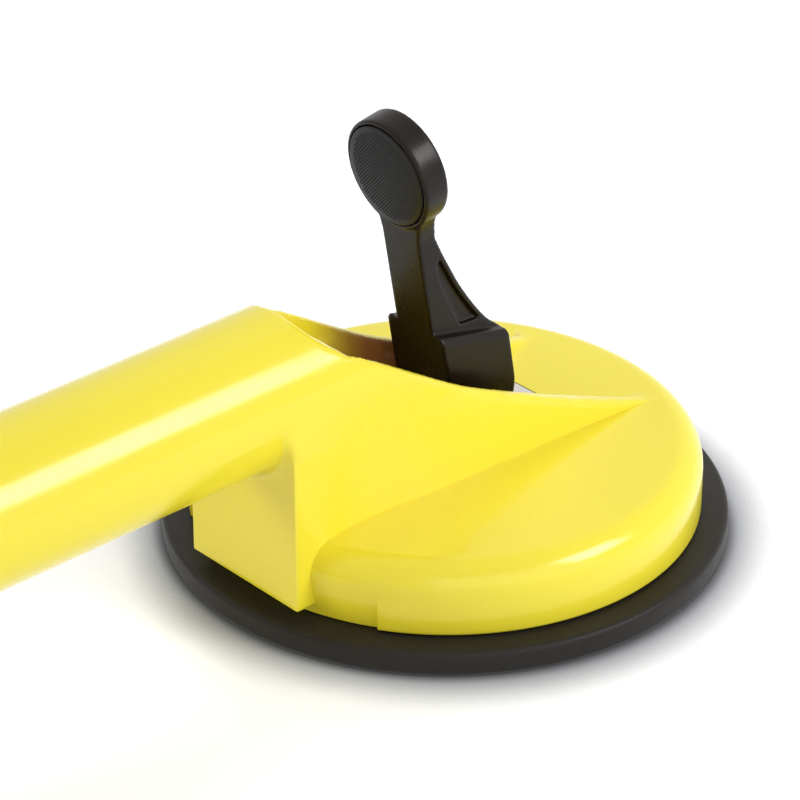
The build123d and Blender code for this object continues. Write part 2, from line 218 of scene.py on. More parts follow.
# Sockets of the Mix node for colours, which share their names with those for other kinds
MIX_FIRST = 6
MIX_SECOND = 7
MIX_RESULT = 2


# Shapes

def between(start, end, shares):
    """Points from start to end, each at its share of the run and of the drop."""
    return [
        (start[0] + run * (end[0] - start[0]), start[1] + drop * (end[1] - start[1]))
        for run, drop in shares
    ]


def fair_line(points, steps=6):
    """A smooth line through the points."""
    points = [Vector(p) for p in points]
    ends = [2 * points[0] - points[1], *points, 2 * points[-1] - points[-2]]
    line = []
    for before, start, end, after in zip(ends, ends[1:], ends[2:], ends[3:]):
        for step in range(steps):
            t = step / steps
            line.append(0.5 * (
                2 * start + (end - before) * t + (2 * before - 5 * start + 4 * end - after) * t ** 2
                + (3 * start - before - 3 * end + after) * t ** 3
            ))
    return [tuple(p) for p in line] + [tuple(points[-1])]


def arc(centre, radius, start, end, steps=8):
    """Points on an arc, with its angles in degrees."""
    angles = [math.radians(start + (end - start) * step / steps) for step in range(steps + 1)]
    return [(centre[0] + radius * math.cos(a), centre[1] + radius * math.sin(a)) for a in angles]


def oval(half_width, half_height, centre, steps=96):
    """Points of an upright oval."""
    angles = [2 * math.pi * step / steps for step in range(steps)]
    return [(half_width * math.cos(a), centre + half_height * math.sin(a)) for a in angles]


def prism(points, across, low, high):
    """A solid with this outline, from low to high along the axis that it goes across."""
    bm = bmesh.new()
    place = {
        "x": lambda p: (0, p[0], p[1]),
        "y": lambda p: (p[0], 0, p[1]),
        "z": lambda p: (p[0], p[1], 0),
    }[across]
    bm.faces.new([bm.verts.new(place(p)) for p in points])
    way = Vector([float(axis == across) for axis in "xyz"])
    bmesh.ops.translate(bm, verts=bm.verts, vec=way * low)
    made = bmesh.ops.extrude_face_region(bm, geom=bm.faces[:])
    moved = [v for v in made["geom"] if isinstance(v, bmesh.types.BMVert)]
    bmesh.ops.translate(bm, verts=moved, vec=way * (high - low))
    bmesh.ops.recalc_face_normals(bm, faces=bm.faces)
    return bm


def turned(profile, steps=192, axis="z", centre=(0, 0, 0)):
    """A solid turned once round from a profile of (radius, place along the axis)."""
    bm = bmesh.new()
    if axis == "z":
        verts = [bm.verts.new((r, 0, h)) for r, h in profile]
    else:
        verts = [bm.verts.new((h, 0, -r)) for r, h in profile]
    edges = [bm.edges.new(pair) for pair in zip(verts, verts[1:])]
    bmesh.ops.translate(bm, verts=bm.verts, vec=centre)
    way = (0, 0, 1) if axis == "z" else (1, 0, 0)
    bmesh.ops.spin(
        bm, geom=verts + edges, cent=centre, axis=way, angle=math.tau, steps=steps, use_merge=True,
    )
    bmesh.ops.remove_doubles(bm, verts=bm.verts, dist=1e-5)
    bmesh.ops.recalc_face_normals(bm, faces=bm.faces)
    return bm


def sharp_edges(bm):
    """The edges that turn by more than 40 degrees."""
    return [e for e in bm.edges if e.calc_face_angle(0) > math.radians(40)]


def bevel(bm, edges, offset, segments):
    """Round the edges off by this much."""
    bmesh.ops.bevel(
        bm, geom=edges, offset=offset, segments=segments, profile=0.5, affect="EDGES", material=-1,
    )


def as_object(name, bm):
    """An object that holds the shape, in metres."""
    bmesh.ops.scale(bm, vec=(MM, MM, MM), verts=bm.verts)
    mesh = bpy.data.meshes.new(name)
    bm.to_mesh(mesh)
    bm.free()
    obj = bpy.data.objects.new(name, mesh)
    bpy.context.scene.collection.objects.link(obj)
    return obj


def take_shape(obj):
    """The object's mesh as a shape in millimetres. The object goes."""
    bm = bmesh.new()
    bm.from_mesh(obj.data)
    bmesh.ops.scale(bm, vec=(1 / MM, 1 / MM, 1 / MM), verts=bm.verts)
    mesh = obj.data
    bpy.data.objects.remove(obj)
    bpy.data.meshes.remove(mesh)
    return bm


def gather(bm, others):
    """Put the other shapes into the first one, as they are."""
    for other in others:
        mesh = bpy.data.meshes.new("gathered")
        other.to_mesh(mesh)
        other.free()
        bm.from_mesh(mesh)
        bpy.data.meshes.remove(mesh)
    return bm


def apply_modifiers(obj):
    """Turn what the modifiers show into the object's own mesh."""
    depsgraph = bpy.context.evaluated_depsgraph_get()
    made = bpy.data.meshes.new_from_object(obj.evaluated_get(depsgraph))
    old = obj.data
    obj.modifiers.clear()
    obj.data = made
    bpy.data.meshes.remove(old)


def put_in_order(obj):
    """Sort the mesh by place, so that each run of the script gives the same one."""
    bm = bmesh.new()
    bm.from_mesh(obj.data)
    for items, place in (
        (bm.verts, lambda v: tuple(v.co)),
        (bm.faces, lambda f: tuple(f.calc_center_median())),
    ):
        for rank, item in enumerate(sorted(items, key=place)):
            item.index = rank
        items.sort()
    bm.to_mesh(obj.data)
    bm.free()


def combine(obj, bm, operation="DIFFERENCE"):
    """Cut the shape out of the object, or join it on."""
    tool = as_object("tool", bm)
    modifier = obj.modifiers.new("Combine", "BOOLEAN")
    modifier.operation = operation
    modifier.solver = "EXACT"
    modifier.object = tool
    apply_modifiers(obj)
    put_in_order(obj)
    mesh = tool.data
    bpy.data.objects.remove(tool)
    bpy.data.meshes.remove(mesh)


def fuse(obj, grain):
    """Melt overlapping solids into one even skin."""
    modifier = obj.modifiers.new("Fuse", "REMESH")
    modifier.mode = "VOXEL"
    modifier.voxel_size = grain
    modifier.adaptivity = 0
    apply_modifiers(obj)


def soften(obj, rounds, fairing):
    """Round the edges off, then fair the skin without thinning it."""
    bm = bmesh.new()
    bm.from_mesh(obj.data)
    for factor in [SMOOTHING] * rounds + [SMOOTHING, REGROWTH] * fairing:
        bmesh.ops.smooth_vert(
            bm, verts=bm.verts, factor=factor, use_axis_x=True, use_axis_y=True, use_axis_z=True,
        )
    bm.to_mesh(obj.data)
    bm.free()


def clear_slivers(obj):
    """Take out the edges and faces that are too small to see."""
    bm = bmesh.new()
    bm.from_mesh(obj.data)
    bmesh.ops.remove_doubles(bm, verts=bm.verts, dist=SLIVER)
    bmesh.ops.dissolve_degenerate(bm, dist=SLIVER, edges=bm.edges)
    bm.to_mesh(obj.data)
    bm.free()


def shade(obj, angle=SHARP_ANGLE):
    """Smooth shading, with the edges sharper than the angle kept."""
    for polygon in obj.data.polygons:
        polygon.use_smooth = True
    obj.data.set_sharp_from_angle(angle=math.radians(angle))


def on_both_cups(bm):
    """The shape on cup a, with its twin on cup b."""
    bmesh.ops.translate(bm, verts=bm.verts, vec=(CUP_X, 0, 0))
    twin = bmesh.ops.duplicate(bm, geom=bm.verts[:] + bm.edges[:] + bm.faces[:])
    twin_verts = [v for v in twin["geom"] if isinstance(v, bmesh.types.BMVert)]
    bmesh.ops.rotate(bm, verts=twin_verts, cent=(0, 0, 0), matrix=Matrix.Rotation(math.pi, 3, "Z"))
    return bm


def pocket_outline(grow=0.0):
    """Outline of the lever pocket: half round at the back, square at the front."""
    half, corner = POCKET_RADIUS + grow, POCKET_CORNER + grow
    front = POCKET_FRONT + grow - corner
    return (
        arc((front, half - corner), corner, 0, 90, 6)
        + arc((half - POCKET_BACK - grow, 0), half, 90, 270, 32)
        + arc((front, corner - half), corner, -90, 0, 6)
    )


# Finishes

def spread_stops(ramp, stops):
    """Give the colour ramp these stops of position and colour."""
    elements = ramp.color_ramp.elements
    while len(elements) < len(stops):
        elements.new(0.5)
    for element, (position, colour) in zip(elements, stops):
        element.position = position
        element.color = (*colour, 1)


class Nodes:
    """The nodes of one material, round its shader."""

    def __init__(self, name):
        self.material = bpy.data.materials.new(name)
        self.material.use_nodes = True
        self.tree = self.material.node_tree
        self.shader = self.tree.nodes["Principled BSDF"]
        self.place = self.add("ShaderNodeTexCoord").outputs["Object"]

    def add(self, kind, **values):
        """A new node with these settings and socket values."""
        node = self.tree.nodes.new(kind)
        for key, value in values.items():
            if hasattr(node, key):
                setattr(node, key, value)
            else:
                node.inputs[key.replace("_", " ")].default_value = value
        return node

    def link(self, output, target):
        """Lead an output to a socket."""
        self.tree.links.new(output, target)

    def noise(self, scale, detail=2.0, roughness=0.5, stretch=(1, 1, 1)):
        """Cloudy pattern of this scale, per metre."""
        mapping = self.add("ShaderNodeMapping")
        mapping.inputs["Scale"].default_value = stretch
        self.link(self.place, mapping.inputs["Vector"])
        pattern = self.add("ShaderNodeTexNoise", Scale=scale, Detail=detail, Roughness=roughness)
        self.link(mapping.outputs["Vector"], pattern.inputs["Vector"])
        return pattern.outputs["Fac"]

    def between(self, factor, low, high, start=0.0, end=1.0):
        """The factor spread from low to high."""
        spread = self.add("ShaderNodeMapRange")
        limits = {"From Min": start, "From Max": end, "To Min": low, "To Max": high}
        for socket, value in limits.items():
            spread.inputs[socket].default_value = value
        self.link(factor, spread.inputs["Value"])
        return spread.outputs["Result"]

    def colours(self, factor, stops):
        """The factor as a colour."""
        ramp = self.add("ShaderNodeValToRGB")
        spread_stops(ramp, stops)
        self.link(factor, ramp.inputs["Fac"])
        return ramp.outputs["Color"]

    def maths(self, operation, first, second=None):
        """One step of arithmetic on one or two outputs or numbers."""
        step = self.add("ShaderNodeMath", operation=operation)
        for value, socket in zip((first, second), step.inputs):
            if isinstance(value, bpy.types.NodeSocket):
                self.link(value, socket)
            elif value is not None:
                socket.default_value = value
        return step.outputs["Value"]

    def mixed(self, factor, first, colour):
        """From the first output to the plain colour."""
        mix = self.add("ShaderNodeMix", data_type="RGBA")
        self.link(factor, mix.inputs["Factor"])
        self.link(first, mix.inputs[MIX_FIRST])
        mix.inputs[MIX_SECOND].default_value = (*colour, 1)
        return mix.outputs[MIX_RESULT]

    def pocket_shade_mask(self):
        """1 deep in the lever pockets of both cups, where shade is painted, else 0."""
        split = self.add("ShaderNodeSeparateXYZ")
        self.link(self.place, split.inputs["Vector"])
        along = self.maths("SUBTRACT", self.maths("ABSOLUTE", split.outputs["X"]), CUP_X * MM)
        across = self.maths("ABSOLUTE", split.outputs["Y"])
        inside = self.maths("LESS_THAN", across, POCKET_SHADE_HALF_WIDTH)
        rise = self.between(along, 0.0, 1.0, *POCKET_SHADE_START)
        fall = self.between(along, 1.0, 0.0, *POCKET_SHADE_END)
        return self.maths("MULTIPLY", self.maths("MULTIPLY", rise, fall), inside)

    def bump(self, height, strength, distance, after=None):
        """Relief of this depth, in metres."""
        bump = self.add("ShaderNodeBump", Strength=strength, Distance=distance)
        self.link(height, bump.inputs["Height"])
        if after is not None:
            self.link(after, bump.inputs["Normal"])
        return bump.outputs["Normal"]

    def set(self, **sockets):
        """Values for the shader's own sockets, or outputs to link there."""
        for name, value in sockets.items():
            socket = self.shader.inputs[name.replace("_", " ")]
            if isinstance(value, bpy.types.NodeSocket):
                self.link(value, socket)
            else:
                socket.default_value = value
        return self.material


def shade_of(colour, factor):
    """The colour, darker below 1 and lighter above."""
    return tuple(channel * factor for channel in colour)


def gloss_plastic(name, colour):
    """Glossy moulded plastic: slow colour drift, orange peel, rubbed patches, and painted shade
    deep in the lever pockets.
    """
    nodes = Nodes(name)
    drift = nodes.noise(14.0, detail=3.0)
    clean = nodes.colours(drift, ((0.35, shade_of(colour, 0.965)), (0.65, colour)))
    # Painted shade: the brown darkening deep in the lever pockets
    pocket_shaded = nodes.mixed(nodes.pocket_shade_mask(), clean, POCKET_SHADE_COLOUR)
    patches = nodes.noise(60.0, detail=4.0, roughness=0.6)
    rubbed = nodes.between(patches, 0.16, 0.22, start=0.35, end=0.7)
    peel = nodes.bump(nodes.noise(420.0), 0.05, 0.0004)
    fine = nodes.bump(nodes.noise(2600.0, detail=1.0), 0.03, 0.0001, after=peel)
    return nodes.set(
        Base_Color=pocket_shaded, Roughness=rubbed, Normal=fine, Specular_IOR_Level=0.5,
        Subsurface_Weight=0.06, Subsurface_Radius=(0.004, 0.003, 0.001), Subsurface_Scale=0.5,
    )


def satin_plastic(name, colour):
    """Black satin plastic with fine grain and worn, paler edges."""
    nodes = Nodes(name)
    edge = nodes.add("ShaderNodeNewGeometry").outputs["Pointiness"]
    wear = nodes.between(edge, 0.0, 1.0, start=0.52, end=0.62)
    patches = nodes.noise(180.0, detail=4.0, roughness=0.6)
    rough = nodes.between(patches, 0.24, 0.36, start=0.3, end=0.7)
    worn = nodes.colours(wear, ((0.0, colour), (1.0, shade_of(colour, 1.9))))
    grain = nodes.bump(nodes.noise(1800.0), 0.10, 0.0001)
    return nodes.set(Base_Color=worn, Roughness=rough, Normal=grain, Specular_IOR_Level=0.21)


def soft_rubber(name, colour):
    """Black rubber with a dusty bloom."""
    nodes = Nodes(name)
    bloom = nodes.noise(38.0, detail=5.0, roughness=0.65)
    dusty = nodes.colours(bloom, ((0.35, colour), (0.75, shade_of(colour, 1.5))))
    rough = nodes.between(bloom, 0.42, 0.58, start=0.3, end=0.7)
    grain = nodes.bump(nodes.noise(900.0, detail=3.0), 0.12, 0.00015)
    return nodes.set(Base_Color=dusty, Roughness=rough, Normal=grain, Specular_IOR_Level=0.20)


def zinc_plated(name, colour):
    """Zinc-plated steel with drawn lines and a faint cast of colour."""
    nodes = Nodes(name)
    clouds = nodes.noise(120.0, detail=3.0)
    cast = nodes.colours(clouds, ((0.3, shade_of(colour, 0.9)), (0.7, colour)))
    streaks = nodes.noise(700.0, detail=3.0, roughness=0.6, stretch=(1, 1, 0.05))
    rough = nodes.between(streaks, 0.22, 0.42, start=0.3, end=0.7)
    lines = nodes.bump(nodes.noise(1500.0, stretch=(0.06, 1, 1)), 0.12, 0.0001)
    return nodes.set(Base_Color=cast, Roughness=rough, Normal=lines, Metallic=1.0)


def natural_nylon(name, colour):
    """Milky nylon."""
    nodes = Nodes(name)
    clouds = nodes.noise(200.0, detail=3.0)
    milky = nodes.colours(clouds, ((0.3, shade_of(colour, 0.94)), (0.7, colour)))
    grain = nodes.bump(nodes.noise(1500.0), 0.08, 0.0001)
    return nodes.set(
        Base_Color=milky, Roughness=nodes.between(nodes.noise(400.0), 0.35, 0.5), Normal=grain,
        Subsurface_Weight=0.2, Subsurface_Radius=(0.002, 0.002, 0.0015), Subsurface_Scale=0.5,
    )


def finish(obj, material, body, replaced=()):
    """Give the piece its finish, the body that it rides on and the CAD nodes that it stands for."""
    obj.data.materials.clear()
    obj.data.materials.append(material)
    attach(obj, body)
    if replaced:
        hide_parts(*replaced)


# Settings that a user would change

class LifterSizes(bpy.types.PropertyGroup):
    """Main sizes of the moulded body and the discs."""
    dome_radius: bpy.props.FloatProperty(
        name="Dome radius", description="Outer radius of the yellow dome",
        default=0.0542, unit="LENGTH")
    dome_height: bpy.props.FloatProperty(
        name="Dome height", description="Top of the dome's shoulder above the floor",
        default=0.0213, unit="LENGTH")
    dome_shoulder: bpy.props.FloatProperty(
        name="Shoulder radius", description="Round between the dome's side and top",
        default=0.006, unit="LENGTH")
    handle_radius: bpy.props.FloatProperty(
        name="Handle radius", description="Radius of the round grip",
        default=0.0155, unit="LENGTH")
    disc_radius: bpy.props.FloatProperty(
        name="Disc radius", description="Outer radius of the rubber disc",
        default=0.06, unit="LENGTH")
    disc_edge: bpy.props.FloatProperty(
        name="Disc edge", description="Height of the rubber disc's rim",
        default=0.0055, unit="LENGTH")
    body_grain: bpy.props.FloatProperty(
        name="Body grain", description="Mesh size of the moulded body",
        default=0.0007, unit="LENGTH")
    lever_grain: bpy.props.FloatProperty(
        name="Lever grain", description="Mesh size of the levers",
        default=0.00033, unit="LENGTH")


class LifterFinishes(bpy.types.PropertyGroup):
    """Colours of the finishes."""
    yellow: bpy.props.FloatVectorProperty(
        name="Body", description="Colour of the moulded body",
        default=(0.93, 0.79, 0.042), subtype="COLOR", min=0, max=1)
    rubber: bpy.props.FloatVectorProperty(
        name="Rubber", description="Colour of the suction discs",
        default=(0.014, 0.012, 0.010), subtype="COLOR", min=0, max=1)
    lever: bpy.props.FloatVectorProperty(
        name="Lever", description="Colour of the cam levers",
        default=(0.009, 0.0055, 0.003), subtype="COLOR", min=0, max=1)
    pad: bpy.props.FloatVectorProperty(
        name="Thumb pad", description="Colour of the thumb pads",
        default=(0.005, 0.004, 0.003), subtype="COLOR", min=0, max=1)
    steel: bpy.props.FloatVectorProperty(
        name="Steel", description="Colour of the plated steel",
        default=(0.72, 0.70, 0.66), subtype="COLOR", min=0, max=1)
    nylon: bpy.props.FloatVectorProperty(
        name="Nylon", description="Colour of the stud guides",
        default=(0.85, 0.84, 0.80), subtype="COLOR", min=0, max=1)


class LifterStudio(bpy.types.PropertyGroup):
    """Camera and light."""
    camera_place: bpy.props.FloatVectorProperty(
        name="Camera", description="Place of the camera",
        default=(-0.31898, -0.46081, 0.39354), subtype="TRANSLATION")
    camera_azimuth: bpy.props.FloatProperty(
        name="Azimuth", description="Heading of the camera from +Y towards +X",
        default=math.radians(42.4216), subtype="ANGLE")
    camera_fall: bpy.props.FloatProperty(
        name="Fall", description="How far the camera looks down",
        default=math.radians(29.9514), subtype="ANGLE")
    lens: bpy.props.FloatProperty(
        name="Lens", description="Focal length on a 36 mm sensor",
        default=157.5, subtype="DISTANCE_CAMERA")
    lamp_level: bpy.props.FloatProperty(
        name="Lamps", description="Level of all the lamps",
        default=1.0)
    room_level: bpy.props.FloatProperty(
        name="Room", description="Strength of the room's light",
        default=0.27)


# Pieces

class LIFTER_OT_moulded_body(bpy.types.Operator):
    """Two domes, two necks and the handle, moulded in one"""
    bl_idname = "lifter.moulded_body"
    bl_label = "Moulded Body"

    def execute(self, context):
        sizes = context.scene.lifter_sizes
        dome_radius = sizes.dome_radius / MM
        dome_height = sizes.dome_height / MM
        shoulder = sizes.dome_shoulder / MM
        handle_radius = sizes.handle_radius / MM

        # Handle and round top in one bar, the necks below it, and the walls cut along the ridge
        circle = arc((0, HANDLE_HEIGHT), handle_radius, 0, 360, 128)[:-1]
        body = as_object("moulded_body", prism(circle, "x", -CUP_X - WALL_END, CUP_X + WALL_END))
        combine(body, on_both_cups(self.neck_slab(handle_radius)), "UNION")
        ridge = fair_line(between(CREST, TOE, RIDGE_SHARES))
        over_ridge = [
            (CREST[0] - OVERRUN, CREST[1] + 2 * OVERRUN), *ridge,
            (WALL_END + 2 * OVERRUN, TOE[1] - OVERRUN),
            (WALL_END + 2 * OVERRUN, CREST[1] + 2 * OVERRUN),
        ]
        combine(body, on_both_cups(prism(over_ridge, "y", -2 * handle_radius, 2 * handle_radius)))
        combine(body, self.coves(handle_radius), "UNION")

        # Lead-in, lever pocket and gutter
        over_all = CREST[1] + 3 * OVERRUN
        foot = (-POCKET_BACK, LEAD_IN_FOOT)
        lead_in = fair_line(between(CREST, foot, LEAD_IN_SHARES)) + [
            (0, LEAD_IN_FOOT), (0, over_all), (CREST[0], over_all),
        ]
        combine(body, on_both_cups(prism(lead_in, "y", -POCKET_RADIUS, POCKET_RADIUS)))
        pocket = prism(pocket_outline(POCKET_STEP), "z", POCKET_FLOOR - OVERRUN, over_all)
        combine(body, on_both_cups(pocket))
        half = POCKET_RADIUS
        trough = (
            arc((half - GUTTER_CORNER, GUTTER_FLOOR + GUTTER_CORNER), GUTTER_CORNER, -90, 0, 10)
            + [(half, CREST[1]), (-half, CREST[1])]
            + arc((GUTTER_CORNER - half, GUTTER_FLOOR + GUTTER_CORNER), GUTTER_CORNER, 180, 270, 10)
        )
        combine(body, on_both_cups(prism(trough, "x", 0, WALL_END + 3 * OVERRUN)))
        mouth = fair_line(GUTTER_MOUTH)
        mouth += [(x, -y) for x, y in reversed(mouth)]
        combine(body, on_both_cups(prism(mouth, "z", GUTTER_FLOOR, CREST[1])))
        fuse(body, sizes.body_grain)
        soften(body, rounds=1, fairing=10)
        dome = self.relieved_dome(dome_radius, dome_height, shoulder)
        combine(body, on_both_cups(dome), "UNION")

        # Hollow domes, and the bed of the strip below the handle
        roof = dome_height - DOME_WALL
        hollow = turned([
            (0, 0), (HOLLOW_RADIUS, 0), (HOLLOW_RADIUS, dome_height - shoulder),
            (dome_radius - shoulder, roof), (CEILING_RADIUS, roof), (CEILING_RADIUS, CEILING),
            (STUD_HOLE, CEILING), (STUD_HOLE, STUD_HOLE_TOP), (0, STUD_HOLE_TOP),
        ], 96)
        reach = COVER_HALF_WIDTH + COVER_GAP
        low, high = -90 - COVER_BED_SWEEP, -90 + COVER_BED_SWEEP
        bed = (
            arc((0, HANDLE_HEIGHT), handle_radius + 2 * OVERRUN, low, high, 12)
            + arc((0, HANDLE_HEIGHT), handle_radius - COVER_THICKNESS, high, low, 12)
        )
        bed = [(max(-reach, min(reach, y)), z) for y, z in bed]
        bed_length = COVER_HALF_LENGTH + COVER_GAP
        combine(body, gather(on_both_cups(hollow), [prism(bed, "x", -bed_length, bed_length)]))
        clear_slivers(body)
        shade(body)
        material = gloss_plastic("yellow_gloss", tuple(context.scene.lifter_finishes.yellow))
        finish(body, material, "housing", ["body_shell"])
        return {"FINISHED"}

    def neck_slab(self, handle_radius):
        """The flat-sided part of a neck, from the dome up into the round top."""
        bm = bmesh.new()
        ends = []
        for x, waist, upper in fair_line(NECK_WALLS):
            side = [
                (waist + NECK_FLARE, NECK_BOTTOM), (waist, NECK_WAIST),
                (upper, NECK_UPPER), (handle_radius, SLAB_TOP),
            ]
            outline = [(x, y, z) for y, z in side] + [(x, -y, z) for y, z in reversed(side)]
            if ends:
                made = bmesh.ops.extrude_face_region(bm, geom=ends[-1:])
                ends += [item for item in made["geom"] if isinstance(item, bmesh.types.BMFace)]
            else:
                ends = [bm.faces.new([bm.verts.new(place) for place in outline])]
            for vert, place in zip(ends[-1].verts, outline):
                vert.co = place
        bmesh.ops.delete(bm, geom=ends[1:-1], context="FACES_ONLY")
        bmesh.ops.recalc_face_normals(bm, faces=bm.faces)
        return bm

    def relieved_dome(self, dome_radius, dome_height, shoulder):
        """A dome that is set back a little round its foot, on both sides of the neck."""
        dome = as_object("dome", turned([
            (0, SKIRT_BOTTOM),
            *arc((dome_radius - SKIRT_ROUND, SKIRT_BOTTOM + SKIRT_ROUND), SKIRT_ROUND, -90, 0, 5),
            *arc((dome_radius - shoulder, dome_height - shoulder), shoulder, 0, 90, 10),
            (0, dome_height + DOME_CROWN),
        ]))
        outside = dome_radius + 3 * OVERRUN
        inside = dome_radius - RELIEF_DEPTH
        relief = as_object("relief", turned([
            (inside, SKIRT_BOTTOM), (dome_radius, RELIEF_TOP), (outside, RELIEF_TOP), (outside, 0),
            (inside, 0), (inside, SKIRT_BOTTOM),
        ]))
        sector = [
            (0, 0), *arc((0, 0), outside + 2 * OVERRUN, 180 - RELIEF_ANGLE, 180 + RELIEF_ANGLE, 24),
        ]
        combine(relief, prism(sector, "z", -OVERRUN, RELIEF_TOP + OVERRUN), "INTERSECT")
        combine(dome, take_shape(relief))
        combine(dome, prism(pocket_outline(), "z", POCKET_FLOOR, dome_height + 3 * OVERRUN))
        return take_shape(dome)

    def coves(self, handle_radius):
        """Small rounds where the handle runs into the necks."""
        neck_x = CUP_X - NECK_FACE
        start = neck_x - COVE_RADIUS
        round_line = [
            (handle_radius + COVE_RADIUS - r, start + x)
            for x, r in arc((0, 0), COVE_RADIUS, 90, 0, 8)
        ]
        root, end = handle_radius - COVE_ROOT, neck_x + OVERRUN
        profile = [
            (root, start), *round_line,
            (handle_radius + COVE_RADIUS, end), (root, end), (root, start),
        ]
        both = [
            turned([(r, x * side) for r, x in profile], 128, "x", (0, 0, HANDLE_HEIGHT))
            for side in (1, -1)
        ]
        pair = as_object("coves", gather(both[0], both[1:]))
        width = handle_radius + COVE_SIDE
        clip = [(width, 0), (width, HANDLE_HEIGHT), (-width, HANDLE_HEIGHT), (-width, 0)]
        combine(pair, prism(clip, "x", -CUP_X, CUP_X), "INTERSECT")
        return take_shape(pair)


class LIFTER_OT_grip_cover(bpy.types.Operator):
    """Strip that closes the hollow handle from below"""
    bl_idname = "lifter.grip_cover"
    bl_label = "Grip Cover"

    def execute(self, context):
        radius = context.scene.lifter_sizes.handle_radius / MM
        reach = math.degrees(math.asin(COVER_HALF_WIDTH / radius))
        inner_reach = math.degrees(math.asin(COVER_HALF_WIDTH / (radius - COVER_THICKNESS)))
        inner = radius - COVER_THICKNESS + COVER_GAP
        section = (
            arc((0, HANDLE_HEIGHT), radius, -90 - reach, -90 + reach, 16)
            + arc((0, HANDLE_HEIGHT), inner, -90 + inner_reach, -90 - inner_reach, 16)
        )
        bm = prism(section, "x", -COVER_HALF_LENGTH, COVER_HALF_LENGTH)
        bevel(bm, sharp_edges(bm), COVER_EDGE, 3)
        cover = as_object("grip_cover_strip", bm)
        shade(cover)
        material = bpy.data.materials["yellow_gloss"]
        finish(cover, material, "housing", ["grip_cover"])
        return {"FINISHED"}


class LIFTER_OT_suction_discs(bpy.types.Operator):
    """Rubber discs with a sealing lip, a shallow dish and a boss that the plunger lifts"""
    bl_idname = "lifter.suction_discs"
    bl_label = "Suction Discs"

    def execute(self, context):
        sizes = context.scene.lifter_sizes
        radius = sizes.disc_radius / MM
        edge = sizes.disc_edge / MM
        rim = radius - RUBBER_ROUND
        profile = [
            *RUBBER_DISH,
            *arc((rim, RUBBER_ROUND), RUBBER_ROUND, -90, 0, 6),
            *arc((rim, edge - RUBBER_ROUND), RUBBER_ROUND, 0, 90, 6),
            *((r, edge + rise) for r, rise in RUBBER_TOP),
            *RUBBER_BOSS,
        ]
        material = soft_rubber("black_rubber", tuple(context.scene.lifter_finishes.rubber))
        for letter, place in CUPS.items():
            disc = as_object(f"rubber_disc_{letter}", turned(profile, 256))
            disc.data.transform(place)
            shade(disc)
            disc.data.materials.append(material)
            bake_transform(disc)
            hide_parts(f"suction_disc_{letter}")
        return {"FINISHED"}


def lean_lever(bm):
    """Lean a shape of the lever's own frame to its rest place on a cup at the origin."""
    bmesh.ops.rotate(bm, verts=bm.verts, cent=(0, 0, 0), matrix=Matrix.Rotation(-LEAN, 3, "Y"))
    bmesh.ops.translate(bm, verts=bm.verts, vec=(0, 0, PIVOT_HEIGHT))


